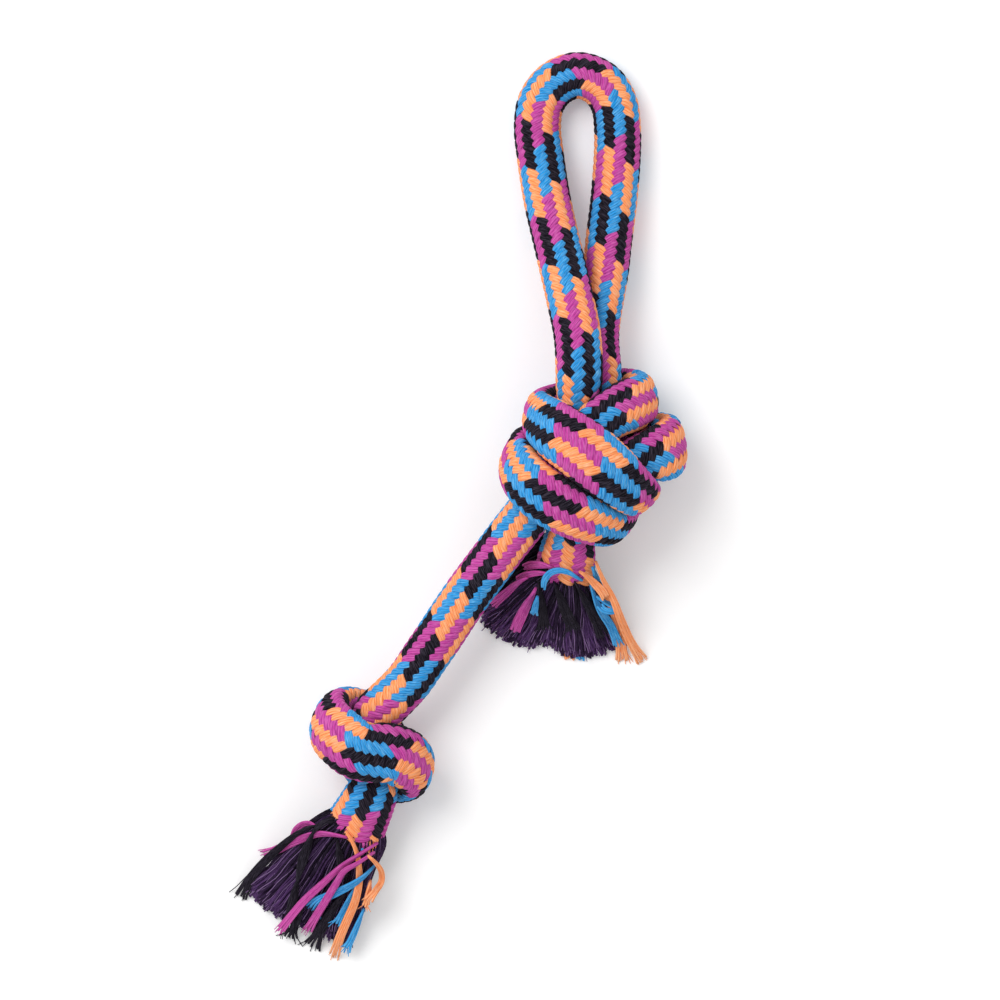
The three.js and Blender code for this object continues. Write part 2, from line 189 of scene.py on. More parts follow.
rope = {
    "radius": 0.010,
    "station": 0.0005,  # between two cross-sections
    "coarse": 4,  # stations between two that are fitted to their neighbours
    "rays": 48,
    "columns": 96,
    "sameBend": 0.006,  # rope nearer than this along itself doesn't press on itself
    "reach": 0.045,  # how near another turn has to be to press
    "pressing": 8,  # how square a pressed side becomes
    "overFloor": 0.0006,  # room for the strands' own roundness
    "upright": 12,  # curvature, per metre, under which a flattened rope lies flat on its side
    "lineEasing": 2.0,  # stations over which the centre line is smoothed
    "easing": 10,  # the same for the sizes and leans
    "bendEasing": 12,  # and for the bends
    "pressEasing": (1.5, 1.2),  # coarse stations and rays over which a pressed side is smoothed
    "outward": 0.6,  # how far a surface direction is turned straight outwards
    "sizes": [  # place on the route, half thickness towards the bend's middle, half width beside it
        (0, 0.0088, 0.0132), (2, 0.0088, 0.0132), (3.5, 0.0088, 0.0125), (7, 0.0088, 0.0142),
        (9, 0.0078, 0.0142), (11, 0.0085, 0.013), (15, 0.0085, 0.0125), (16.5, 0.0072, 0.0125),
        (18, 0.0088, 0.0135), (20.5, 0.0088, 0.0135), (22.5, 0.0072, 0.012), (25, 0.0085, 0.011),
        (29, 0.0095, 0.0105), (30.5, 0.01, 0.01), (50, 0.01, 0.01), (52, 0.0092, 0.0105),
        (54, 0.0065, 0.012), (56, 0.0075, 0.013), (57.5, 0.0085, 0.0155), (60, 0.0085, 0.0155),
        (61.5, 0.0075, 0.0142), (63, 0.0085, 0.012), (67, 0.0075, 0.012), (69, 0.0065, 0.0125),
        (71, 0.0085, 0.0125), (74, 0.009, 0.011), (76, 0.01, 0.01), (83, 0.01, 0.01),
        (84.5, 0.0088, 0.011), (87, 0.0078, 0.0115), (90, 0.0078, 0.0115), (91.5, 0.0085, 0.0142),
        (94, 0.0085, 0.0142), (95.5, 0.0078, 0.013), (98, 0.0085, 0.011), (101, 0.0085, 0.0108),
        (102, 0.009, 0.0115), (103, 0.009, 0.0135), (104, 0.009, 0.0142),
    ],
    "leans": [  # place on the route, and how far the pressed rope sits off it
        (1, (-0.0015, 0, 0)), (3, (-0.002, 0, 0)), (5, (0, -0.0028, 0)), (7, (0, -0.0048, 0)),
        (10, (0, -0.0048, 0)), (12, (0, 0, 0)), (14, (0.002, 0, 0)), (16, (0.002, 0, 0)),
        (18, (0, 0.001, 0)), (20.5, (-0.0035, 0.005, 0)), (24, (-0.0035, 0.005, 0)), (26, (0, 0, 0)),
        (46.5, (0, 0, 0)), (48, (-0.004, 0, 0)), (50, (-0.004, 0, 0)), (54, (-0.006, 0, 0)),
        (57, (-0.005, 0, 0)), (59, (0, -0.001, 0)), (61, (0.001, -0.004, 0)), (63, (0.0015, -0.0062, 0)),
        (65, (0.0015, -0.0062, 0)), (66.5, (-0.0068, -0.001, 0)), (68.5, (-0.0045, -0.005, 0)),
        (70, (-0.004, -0.0015, 0)), (71.5, (-0.0045, 0.002, 0)), (73, (0, 0, 0)), (84, (0, 0, 0)),
        (85, (0.004, 0.002, 0)),
        (87, (0.004, 0.002, 0)), (88.5, (-0.0028, 0.0073, 0)), (92, (-0.0028, 0.0073, 0)),
        (93.5, (0.001, -0.0072, 0)), (96, (-0.0005, -0.0078, 0)), (97.5, (0, -0.0045, 0)),
        (100, (-0.003, 0, 0)), (101.5, (0, 0, 0)), (103, (-0.0024, -0.0033, -0.0005)),
    ],
}


# A table's values at places along the route
def tabled(rows, places):
    values = np.array([np.hstack(row[1:]) for row in rows], float)
    known = [row[0] for row in rows]
    return np.stack([np.interp(places, known, column) for column in values.T], axis=1)


route = neckRoute + knotShortRoute + loopRoute + knotLongRoute + legRoute + knotEndRoute + endNeckRoute
shortKnotPlace = len(neckRoute)
loopPlace = shortKnotPlace + len(knotShortRoute)
longKnotPlace = loopPlace + len(loopRoute)
legPlace = longKnotPlace + len(knotLongRoute)
endKnotPlace = legPlace + len(legRoute)
endNeckPlace = endKnotPlace + len(knotEndRoute)
lastPlace = len(route) - 1


# The rope's centre line, the directions beside it, and the places of its points on the route
def layRope():
    line = curveThrough(np.array(route) + routeShift)
    along = lengthsAlong(line)
    count = int(round(along[-1] / rope["station"])) + 1
    path = smoothed(evenly(line, count), rope["lineEasing"])
    places = np.interp(np.linspace(0, along[-1], count), along, np.arange(len(line)) / perSpan)
    middle = path + smoothed(tabled(rope["leans"], places), rope["easing"])
    normals, sides = sidesAlong(middle)
    return {"line": line, "along": along, "middle": middle, "normals": normals, "sides": sides,
            "places": places}


laid = layRope()


def lengthTo(place):
    return float(np.interp(place * perSpan, np.arange(len(laid["line"])), laid["along"]))


# How far the rope reaches in each direction, pressed against its own turns and the floor
def crossSections():
    step = rope["coarse"]
    middle = laid["middle"][::step]
    along = np.arange(len(middle)) * rope["station"] * step
    angles = np.arange(rope["rays"]) / rope["rays"] * 2 * math.pi
    rays = (laid["normals"][::step, None] * np.cos(angles)[:, None]
            + laid["sides"][::step, None] * np.sin(angles)[:, None])
    # A bent rope in a knot is thin towards the bend's middle and wide beside it
    soft = smoothed(laid["middle"], rope["bendEasing"])
    bend = np.gradient(np.gradient(soft, axis=0), axis=0)[::step] / rope["station"] ** 2
    bend = smoothed(bend, rope["bendEasing"] / step)
    bend[:, 2] += np.where(bend[:, 2] < 0, -rope["upright"], rope["upright"])
    thin, wide = smoothed(tabled(rope["sizes"], laid["places"]), rope["easing"])[::step].T
    inward = (rays * unit(bend)[:, None]).sum(axis=2) ** 2
    own = 1 / np.sqrt(inward / thin[:, None] ** 2 + (1 - inward) / wide[:, None] ** 2)
    # Half way to every other turn of the rope, and the floor
    limit = (middle[:, 2:3] - rope["overFloor"]) / np.maximum(-rays[:, :, 2], tiny)
    for i in range(len(middle)):
        others = middle[np.abs(along - along[i]) > rope["sameBend"]] - middle[i]
        squares = (others**2).sum(axis=1)
        near = squares < rope["reach"] ** 2
        ahead = np.maximum(rays[i] @ others[near].T, tiny)
        limit[i] = np.minimum(limit[i], (squares[near] / (2 * ahead)).min(axis=1))
    power = rope["pressing"]
    radii = (own**-power + limit**-power) ** (-1 / power)
    alongEasing, aroundEasing = rope["pressEasing"]
    radii = smoothed(radii, alongEasing)
    radii = smoothed(radii.T, aroundEasing, closed=True).T
    stations = np.arange(len(laid["middle"])) / step
    fine = np.arange(len(middle))
    return angles, np.stack([np.interp(stations, fine, ray) for ray in radii.T], axis=1)


# The surface as a grid: stations along the rope, columns of equal width round it
def ropeSurface():
    angles, radii = crossSections()
    closedAngles = np.append(angles, 2 * math.pi)
    closedRadii = np.hstack([radii, radii[:, :1]])
    across = closedRadii * np.cos(closedAngles)
    up = closedRadii * np.sin(closedAngles)
    edges = np.hypot(np.diff(across, axis=1), np.diff(up, axis=1))
    shares = np.hstack([np.zeros((len(edges), 1)), np.cumsum(edges, axis=1)])
    shares /= shares[:, -1:]
    wanted = np.arange(rope["columns"]) / rope["columns"]
    turned = np.stack([np.interp(wanted, row, closedAngles) for row in shares])
    reach = np.stack([np.interp(turn, closedAngles, row) for turn, row in zip(turned, closedRadii)])
    out = (laid["normals"][:, None] * np.cos(turned)[..., None]
           + laid["sides"][:, None] * np.sin(turned)[..., None])
    points = laid["middle"][:, None] + out * reach[..., None]
    lengthwise = np.gradient(points, axis=0)
    crosswise = (np.roll(points, -1, axis=1) - np.roll(points, 1, axis=1)) / 2
    normals = unit(unit(np.cross(crosswise, lengthwise)) + rope["outward"] * out)
    return points, normals, crosswise


surfacePoints, surfaceNormals, surfaceCrosswise = ropeSurface()
ropeLength = rope["station"] * (len(surfacePoints) - 1)
print(f"rope laid, {ropeLength:.3f} m")


# Values of a grid over the rope at lengths along it and columns round it
def sampled(grid, lengths, columns):
    row = np.clip(lengths / rope["station"], 0, len(grid) - 1.001)  # so that a row always follows
    low = row.astype(int)
    rowShare = (row - low)[..., None]
    column = np.mod(columns, rope["columns"])
    left = np.floor(column).astype(int) % rope["columns"]
    right = (left + 1) % rope["columns"]
    columnShare = (column - np.floor(column))[..., None]
    near = grid[low, left] * (1 - columnShare) + grid[low, right] * columnShare
    far = grid[low + 1, left] * (1 - columnShare) + grid[low + 1, right] * columnShare
    return near * (1 - rowShare) + far * rowShare


# Tubes side by side as one mesh: rings is an array of tube, ring, corner, xyz
def tubesMesh(name, rings, places, frayAndNeckShade, materials, slots):
    tubes, length, corners = rings.shape[:3]
    template = bmesh.new()
    bmesh.ops.create_cone(template, cap_ends=True, segments=corners, radius1=1, radius2=1, depth=1)
    lengthwise = [edge for edge in template.edges if abs(edge.verts[0].co.z - edge.verts[1].co.z) > 0.5]
    bmesh.ops.subdivide_edges(template, edges=lengthwise, cuts=length - 2)
    bmesh.ops.recalc_face_normals(template, faces=template.faces)
    ring = np.array([round((v.co.z + 0.5) * (length - 1)) for v in template.verts])
    corner = np.array([round(math.atan2(v.co.y, v.co.x) / (2 * math.pi) * corners) for v in template.verts])
    corner = (corner - corner.min()) % corners
    faces = len(template.faces)
    one = bpy.data.meshes.new("tube")
    template.to_mesh(one)
    template.free()
    joined = bmesh.new()
    for _ in range(tubes):
        joined.from_mesh(one)
    mesh = bpy.data.meshes.new(name)
    joined.to_mesh(mesh)
    joined.free()
    bpy.data.meshes.remove(one)
    mesh.vertices.foreach_set("co", rings[:, ring, corner].astype(np.float32).ravel())
    place = mesh.attributes.new("strandPlace", "FLOAT_VECTOR", "POINT")
    place.data.foreach_set("vector", places[:, ring, corner].astype(np.float32).ravel())
    ends = mesh.attributes.new("frayAndNeckShade", "FLOAT", "POINT")
    ends.data.foreach_set("value", np.tile(frayAndNeckShade[ring], tubes).astype(np.float32))
    for material in materials:
        mesh.materials.append(material)
    mesh.polygons.foreach_set("material_index", np.repeat(np.array(slots, np.int32), faces))
    mesh.polygons.foreach_set("use_smooth", np.ones(tubes * faces, bool))
    mesh.update()
    piece = bpy.data.objects.new(name, mesh)
    bpy.context.scene.collection.objects.link(piece)
    return piece


# Round tubes along lines: an array of tube, ring, xyz, with a radius for each ring
def roundTubes(lines, radii, corners, owns):
    tangents = unit(np.gradient(lines, axis=1))
    normals = np.empty_like(lines)
    normal = np.tile([0.0, 0.0, 1.0], (len(lines), 1))
    for i in range(lines.shape[1]):
        tangent = tangents[:, i]
        normal = unit(normal - (normal * tangent).sum(axis=1, keepdims=True) * tangent)
        normals[:, i] = normal
    sides = np.cross(tangents, normals)
    turn = np.arange(corners) / corners * 2 * math.pi
    out = normals[:, :, None] * np.cos(turn)[:, None] + sides[:, :, None] * np.sin(turn)[:, None]
    rings = lines[:, :, None] + out * radii[:, :, None, None]
    places = np.empty(rings.shape)
    places[..., 0] = np.sin(turn)
    steps = np.linalg.norm(np.diff(lines, axis=1), axis=2)
    places[:, 0, :, 1] = 0
    places[:, 1:, :, 1] = np.cumsum(steps, axis=1)[..., None]
    places[..., 2] = owns[:, None, None]
    return rings, places


# Materials
class Value:
    # A socket in a material; sums and products of such values add Math nodes
    def __init__(self, finish, socket):
        self.finish = finish
        self.socket = socket

    def joined(self, operation, first, second):
        return self.finish.node("ShaderNodeMath", {"operation": operation}, {0: first, 1: second})

    def __add__(self, other):
        return self.joined("ADD", self, other)

    def __radd__(self, other):
        return self.joined("ADD", other, self)

    def __sub__(self, other):
        return self.joined("SUBTRACT", self, other)

    def __rsub__(self, other):
        return self.joined("SUBTRACT", other, self)

    def __mul__(self, other):
        return self.joined("MULTIPLY", self, other)

    def __rmul__(self, other):
        return self.joined("MULTIPLY", other, self)

    def __pow__(self, other):
        return self.joined("POWER", self, other)


class Finish:
    # The nodes of a material, or of the world, and its own shader
    def __init__(self, owner, shader="Principled BSDF"):
        owner.use_nodes = True
        self.owner = owner
        self.tree = owner.node_tree
        self.shader = self.tree.nodes[shader]

    def put(self, target, value):
        if isinstance(value, Value):
            self.tree.links.new(value.socket, target)
        else:
            target.default_value = value

    def node(self, kind, settings=None, inputs=None, output=0):
        made = self.tree.nodes.new(kind)
        for name, value in (settings or {}).items():
            setattr(made, name, value)
        for key, value in (inputs or {}).items():
            self.put(made.inputs[key], value)
        return Value(self, made.outputs[output])

    def shade(self, values):
        for name, value in values.items():
            self.put(self.shader.inputs[name], value)

    def wave(self, value):
        return self.node("ShaderNodeMath", {"operation": "SINE"}, {0: value})

    def positive(self, value):
        return self.node("ShaderNodeMath", {"operation": "ABSOLUTE"}, {0: value})

    def between(self, share, first, second):
        return self.node("ShaderNodeMix", {"data_type": "RGBA"}, {0: share, 6: first, 7: second}, 2)

    # 1 where the camera sees the surface, directly or through a reflection
    def inSight(self):
        names = ("Is Camera Ray", "Is Glossy Ray", "Is Transmission Ray")
        camera, glossy, through = (self.node("ShaderNodeLightPath", output=name) for name in names)
        return camera + glossy + through

    # Position across a strand from -1 to 1, along it in metres, and the strand's own number
    def strandPlace(self):
        place = self.node("ShaderNodeAttribute", {"attribute_name": "strandPlace"}, output="Vector")
        return [self.node("ShaderNodeSeparateXYZ", inputs={0: place}, output=k) for k in range(3)]

    def noise(self, x, y, z, scale, detail):
        point = self.node("ShaderNodeCombineXYZ", inputs={0: x, 1: y, 2: z})
        settings = {"noise_dimensions": "3D"}
        inputs = {"Vector": point, "Scale": scale, "Detail": detail}
        return self.node("ShaderNodeTexNoise", settings, inputs)


# A colour as seen on screen, 0 to 255, in the renderer's own terms
def seen(red, green, blue):
    def channel(value):
        share = value / 255
        return share / 12.92 if share < 0.04045 else ((share + 0.055) / 1.055) ** 2.4
    return (channel(red), channel(green), channel(blue), 1)


yarn = {
    "plies": 3,  # yarns that show side by side on one strand of the cover
    "fringePlies": 1.5,
    "twist": 240,  # how fast the fibres turn about a yarn, per metre
    "fibres": 6,  # side by side on a strand
    "fibreLength": 200,  # pattern steps per metre along a strand
    "fibreNoise": (1.6, 3),  # scale and detail
    "patchLength": 60,
    "patchNoise": (1.0, 2),
    "patchShow": (0.5, 0.8),  # noise above which a strand is darker, and how sharply
    "ownShifts": (7, 31, 17),  # how a strand's own number moves its grooves, fibres and patches
    "grooveShadePower": 0.45,  # lower makes the painted shade in the grooves narrower
    "frayPower": 1.5,
    "relief": 0.00013,
    "reliefShares": (0.6, 0.6),  # of the yarns and of their fibres
    "reliefStrength": 0.7,
    "roughness": 0.92,
    "gloss": 0.15,
    "sheen": 0.04,
    "dark": ("black", "core", "coreBlack", "hair"),
    "darkGloss": 0.04,
    "darkSheen": 0.015,
    "fibreHighlightShow": (0.45, 2.9),  # noise above which the paler loose fibres with their painted highlights show, and how sharply
    "fringeFibreHighlightShow": (0.52, 3.2),
    "colours": {  # the yarn; its grooves, darkened as painted shade; its loose fibres, paler and with painted highlights; and its frayed end, which on the fringe yarns is the lighter tip
        "orange": ((255, 155, 90), (206, 84, 32), (255, 214, 178), (255, 176, 118)),
        "blue": ((24, 144, 216), (6, 76, 140), (136, 206, 246), (56, 168, 234)),
        "magenta": ((190, 60, 152), (116, 24, 92), (228, 130, 198), (208, 80, 170)),
        "black": ((18, 14, 22), (4, 3, 6), (80, 74, 88), (34, 30, 38)),
        "core": ((36, 20, 48), (8, 5, 11), (136, 108, 154), (88, 56, 108)),
        "coreBlack": ((18, 14, 22), (5, 4, 6), (92, 78, 104), (56, 36, 70)),
        "hair": ((122, 96, 140), (70, 50, 84), (170, 146, 186), (136, 106, 152)),
    },
}


# Cotton yarns side by side: grooves between them darkened as painted shade, fibres that turn along each,
# paler and with painted highlights
def cottonFinish(name, plies, fibreHighlightShow=yarn["fibreHighlightShow"]):
    usual, grooveShadeAndPatch, fibreHighlight, worn = (seen(*colour) for colour in yarn["colours"][name])
    finish = Finish(bpy.data.materials.new(f"{name} cotton"))
    across, along, own = finish.strandPlace()
    frayAndNeckShade = finish.node("ShaderNodeAttribute", {"attribute_name": "frayAndNeckShade"}, output="Fac")
    grooveShift, fibreShift, patchShift = yarn["ownShifts"]
    ridge = finish.positive(finish.wave(across * (plies * math.pi / 2) + own * grooveShift))
    slant = across * yarn["fibres"] + along * yarn["twist"]
    fibre = finish.noise(slant, along * yarn["fibreLength"], own * fibreShift, *yarn["fibreNoise"])
    patch = finish.noise(across, along * yarn["patchLength"], own * patchShift, *yarn["patchNoise"])
    # From the usual colour to the worn one: toward a strand's frayed end, and along a fringe yarn from a
    # neck end darkened partly as painted shade to its lighter tip
    body = finish.between(frayAndNeckShade ** yarn["frayPower"], usual, worn)
    # Painted shade: the grooves between the yarns are darkened in the colour itself, over their bump
    shade = finish.between(ridge ** yarn["grooveShadePower"], grooveShadeAndPatch, body)
    fibreFrom, fibreRate = fibreHighlightShow
    # Painted highlights: the loose fibres are lightened in the colour to stand for the glints on them
    lit = finish.between((fibre - fibreFrom) * fibreRate, shade, fibreHighlight)
    patchFrom, patchRate = yarn["patchShow"]
    # The same dark colour also darkens patches at random along a strand
    coloured = finish.between((patch - patchFrom) * patchRate, lit, grooveShadeAndPatch)
    ridgeShare, fibreShare = yarn["reliefShares"]
    height = ridge * ridgeShare + fibre * fibreShare
    bump = finish.node("ShaderNodeBump", {}, {"Strength": yarn["reliefStrength"], "Distance": yarn["relief"],
                                              "Height": height})
    isDark = name in yarn["dark"]
    finish.shade({"Base Color": coloured, "Roughness": yarn["roughness"], "Normal": bump,
                  "Specular IOR Level": yarn["darkGloss" if isDark else "gloss"],
                  "Sheen Weight": yarn["darkSheen" if isDark else "sheen"]})
    return finish.owner


coverNames = ("blue", "magenta", "orange", "black")
fringeNames = ("core", "coreBlack", "hair")
cotton = {name: cottonFinish(name, yarn["plies"]) for name in coverNames}
fringeCotton = {name: cottonFinish(name, yarn["fringePlies"], yarn["fringeFibreHighlightShow"])
                for name in fringeNames}
strandCotton = {name: cottonFinish(name, 1) for name in coverNames}
strandCotton["purple"] = fringeCotton["core"]
print("materials ready")

braid = {
    "carriers": 24,
    "lay": 0.044,  # rope length in which a strand goes once round
    "neckLayShare": 0.66,  # of that length, in the necks
    "necks": (1.2, endNeckPlace - 0.6),  # places where the first neck ends and the last one starts
    "neckEasing": 8,  # stations over which the lay changes
    "turnEasing": 30,  # stations over which the turns are smoothed
    "dwell": 1.35,  # how long a strand stays up or down between two crossings
    "thickness": 0.0013,
    "fullness": 1.12,  # width of a strand over the room it has
    "step": 0.00075,  # between two cross-sections of a strand
    "seedRate": 1000,  # random seeds per metre of rope, so that each stretch has its own
    "angle": math.radians(55),  # of a strand to the rope
    "ragged": 0.002,  # how unevenly the cover ends at a tassel
    "slant": 0.004,  # how much shorter it is on the left side of the end tassel
    "turns": [  # place on the route, columns that the cover is turned by, crossings that it is slid by
        (2, 1.4, -8.5), (6, 0, 0), (10, 0, 0), (16.5, 3.4, -8.4), (24, 3.2, -8.4), (30.5, 3, -6),
        (37.5, 2.9, -8.8), (43, 2.6, -1.1), (49, 2.4, 1.2), (57, 2.2, 1.2), (59, 2.2, 1.2), (77, -3, 2.2),
        (81, -3, 2.2), (91.5, 5.6, 1.8), (94, 5.6, 1.8), (102, 2.2, 5.8),
    ],
    "ownSteps": (0.37, 0.21),  # in a strand's own number, between strands and between directions
    "sectionShares": [  # outline of a strand cut across, from -1 to 1 over its width and its thickness
        (-1, -0.3), (-0.86, 0.42), (-0.5, 0.86), (0, 1), (0.5, 0.86), (0.86, 0.42), (1, -0.3), (0, -0.9),
    ],
}


# How far the cover is turned about the rope and slid along it
def turnsAt(lengths):
    stations = np.arange(len(surfacePoints)) * rope["station"]
    turns = smoothed(tabled(braid["turns"], laid["places"]), braid["turnEasing"])
    return [np.interp(lengths, stations, values) for values in turns.T]


# Crossings passed along the rope; the necks have them closer together
def crossingsTo(lengths):
    stations = np.arange(len(surfacePoints)) * rope["station"]
    share = np.ones(len(stations))
    firstNeck, lastNeck = (lengthTo(place) for place in braid["necks"])
    share[(stations < firstNeck) | (stations > lastNeck)] = braid["neckLayShare"]
    share = smoothed(share, braid["neckEasing"])
    passed = np.concatenate([[0], np.cumsum(1 / share[:-1])]) * rope["station"]
    passed *= braid["carriers"] / braid["lay"]
    return np.interp(lengths, stations, passed)


# All 24 strands of the cover between two lengths along the rope, the blue and magenta ones first
def braidRings(start, end, raggedStart, raggedEnd):
    count = int(round((end - start) / braid["step"])) + 1
    chance = np.random.default_rng(int(start * braid["seedRate"]))
    perColumn = rope["columns"] / braid["carriers"]
    thick = braid["thickness"]
    carrierStep, senseStep = braid["ownSteps"]
    shares = np.array(braid["sectionShares"])
    rings, places, slots = [], [], []
    for sense in (1, -1):
        for carrier in range(braid["carriers"] // 2):
            uneven = chance.uniform(-1, 1, 2) * braid["ragged"]
            first = start + raggedStart * uneven[0]
            turn, slide = turnsAt(end)
            lastColumn = (2 * carrier + sense * (crossingsTo(end) + slide) + turn) * perColumn
            outwards = sampled(surfaceNormals, np.array([end]), np.array([lastColumn]))[0]
            leftness = max(0.0, -float(outwards[0]))
            last = end - raggedEnd * (uneven[1] + braid["ragged"] + braid["slant"] * leftness)
            lengths = np.linspace(first, last, count)
            turn, slide = turnsAt(lengths)
            column = 2 * carrier + sense * (crossingsTo(lengths) + slide)
            over = np.clip(braid["dwell"] * sense * np.cos((column - 0.5) * math.pi / 2), -1, 1)
            depth = thick * (0.5 + (1 - over) / 2)
            at = (column + turn) * perColumn
            normal = unit(sampled(surfaceNormals, lengths, at))
            centre = sampled(surfacePoints, lengths, at) - normal * depth[:, None]
            tangent = unit(np.gradient(centre, axis=0))
            side = unit(np.cross(tangent, normal))
            up = np.cross(side, tangent)
            room = sampled(surfaceCrosswise, lengths, at) * 2 * perColumn
            width = np.abs((room * side).sum(axis=1)) * braid["fullness"]
            ring = (centre[:, None]
                    + side[:, None] * shares[:, :1] * width[:, None, None] / 2
                    + up[:, None] * shares[:, 1:] * thick / 2)
            place = np.empty(ring.shape)
            place[..., 0] = shares[:, 0]
            place[..., 1] = lengths[:, None] / math.cos(braid["angle"])
            place[..., 2] = (carrier * carrierStep + (sense + 1) * senseStep) % 1
            rings.append(ring)
            places.append(place)
            second = carrier >= braid["carriers"] // 4
            slots.append(second if sense > 0 else 2 + second)
    return np.array(rings), np.array(places), slots


coreYarn = {
    "step": 0.002,
    "everyColumn": 4,  # columns of the rope's surface between two of its own
    "inset": 2.15,  # how deep it lies, in thicknesses of the cover's strands
    "own": 0.5,  # its number, as a strand has one
}


# The yarn core under the cover, a tube a little inside it
def coreRings(start, end):
    count = int(round((end - start) / coreYarn["step"])) + 1
    lengths = np.linspace(start, end, count)
    columns = np.arange(0, rope["columns"], coreYarn["everyColumn"])
    grid = np.meshgrid(lengths, columns, indexing="ij")
    normal = sampled(surfaceNormals, *grid)
    points = sampled(surfacePoints, *grid) - normal * coreYarn["inset"] * braid["thickness"]
    place = np.empty(points.shape)
    place[..., 0] = 0
    place[..., 1] = grid[0]
    place[..., 2] = coreYarn["own"]
    return points[None], place[None]


# A place of the route as a point on the rope's middle
def spot(place):
    station = lengthTo(place) / rope["station"]
    return tuple(np.interp(station, np.arange(len(laid["middle"])), row) for row in laid["middle"].T)


# Places where the cover is cut: at the short tassel, and then from one stretch to the next
shortEnd = 0.9
loopCut = loopPlace - 2
longRunCut = longKnotPlace + 1
legCut = legPlace - 10
lowerLegCut = legPlace + 2
endKnotCut = endKnotPlace + 5.5
stretches = [
    {"name": "knot_short_run", "places": (shortEnd, loopCut),
     "bodies": ("short_tassel", "handle_knot"), "bend": (shortEnd, shortEnd + 1.6),
     "nodes": ("short_neck", "knot_short_run")},
    {"name": "handle_loop", "places": (loopCut, longRunCut),
     "bodies": ("handle_knot", "handle_loop"), "points": ((0.049, 0.056, 0.03), (0.049, 0.078, 0.03)),
     "nodes": ("loop_bend_left", "handle_loop", "loop_bend_right")},
    {"name": "knot_long_run", "places": (longRunCut, legCut), "bodies": ("handle_knot",),
     "nodes": ("knot_long_run",)},
    {"name": "long_leg", "places": (legCut, lowerLegCut), "bodies": ("handle_knot", "long_leg"),
     "bend": (legPlace - 0.4, legPlace + 1.9), "nodes": ("leg_bend",)},
    {"name": "leg_end", "places": (lowerLegCut, endKnotCut), "bodies": ("long_leg", "end_knot"),
     "bend": (endKnotPlace - 2, endKnotPlace - 0.2), "nodes": ("long_leg", "end_bend")},
    {"name": "end_knot", "places": (endKnotCut, lastPlace), "bodies": ("end_knot", "end_tassel"),
     "bend": (endNeckPlace - 0.4, endNeckPlace + 1), "nodes": ("end_knot", "end_neck")},
]


# A piece on one body rides on it; one across a joint has its transform baked into its mesh
def rideOrBlend(piece, stretch):
    if len(stretch["bodies"]) == 1:
        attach(piece, stretch["bodies"][0])
        return
    start, end = stretch.get("points") or [spot(place) for place in stretch["bend"]]
    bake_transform(piece)


# Tassels: the core's yarns fanned out and cut, with loose strands of the cover lying over them
fringe = {
    "radius": 0.00052,
    "corners": 5,
    "rings": 16,
    "hairRadius": 0.00017,
    "lowest": 0.0008,  # centre of the lowest yarns over the floor
    "wander": 0.0005,  # how far a yarn strays from its line
    "wave": 0.017,
    "waveHeightShare": 0.5,  # of the waves' width
    "cut": 0.0042,  # how much shorter the upper yarns are
    "unevenCut": 0.0015,
    "edgePoints": 200,  # worked out along the cut edge
    "tipScatterShare": 0.012,  # of that edge, by which a yarn's end strays along it
    "crownShare": 0.4,  # of its height, by which the pile is lower at its sides
    "leaveShares": (0.3, 0.7, 0.45),  # of the rope's, the fan's and the sideways direction at the neck
    "bendShares": (0.33, 0.35),  # how far from its start and its end a yarn bends
    "arch": 0.004,  # how much higher the upper yarns lie before their ends
    "hairLift": 0.001,  # how much higher a hair's end lies
    "hairScatter": 0.0006,  # and how far it strays
    "darkBands": (41, 93),  # two waves of dark yarns along the cut edge
    "darkRise": 3,  # how the first wave moves from the lower yarns to the upper ones
    "darkSecond": (0.6, 1.3),  # height and start of the second wave
    "darkFrom": 0.1,
    "unevenYarns": (0.85, 1.15),
    "pilePoints": 80,  # along a yarn, for what lies over it
}
strandMake = {
    "radius": 0.00066,  # of a ply
    "corners": 7,
    "rings": 36,
    "pitch": 0.00082,  # between two plies side by side
    "hairs": 6,
    "hairRadius": 0.0002,
    "splay": 0.8,  # how much wider the cut end is
    "shorter": 0.0018,  # how unevenly its plies end
    "hairReach": 0.002,
    "stray": (0.0004, 0.0011),  # how far a ply's end and a hair's end stand off to the side
    "mostStray": 1.6,  # times that far
    "sunk": 0.0003,  # how deep it lies in what it rests on
    "rooted": 0.0022,  # how deep its start is in the cover
    "rootShare": 0.12,  # of its length
    "startShares": (0.45, 0.3),  # of its full width at its start, and of its length to where it is full
    "turns": 0.25,  # of a strand about itself
    "turnRate": 1.3,  # above 1 it lies flat before its end
    "splayFromShare": 0.72,  # of its length, where it begins to splay
    "hairFromShare": 0.8,
    "shortestHairShare": -0.4,  # of the longest hair's reach
    "taperShares": (0.8, 0.25),  # of its length, where its plies begin to taper, and of their radius
    "frayFromShare": 0.6,
    "rounding": 1.5,  # how much plies differ in height, less where they are fine
    "plyStep": 2.4,  # mixes high and low plies
    "turnHeightShare": 0.6,  # height of a turned strand, of its width
    "feel": 2,  # cells to either side that carry it
    "bridging": (3, 6),  # how often and how widely it is drawn straight over dips
    "easing": 2.5,
}
besideNeck = {"plies": 12, "fine": 0.7, "hairs": 0}  # dark strands between the short neck and the leg
tucked = {"splay": 0, "hairs": 0}  # both ends lie under other strands
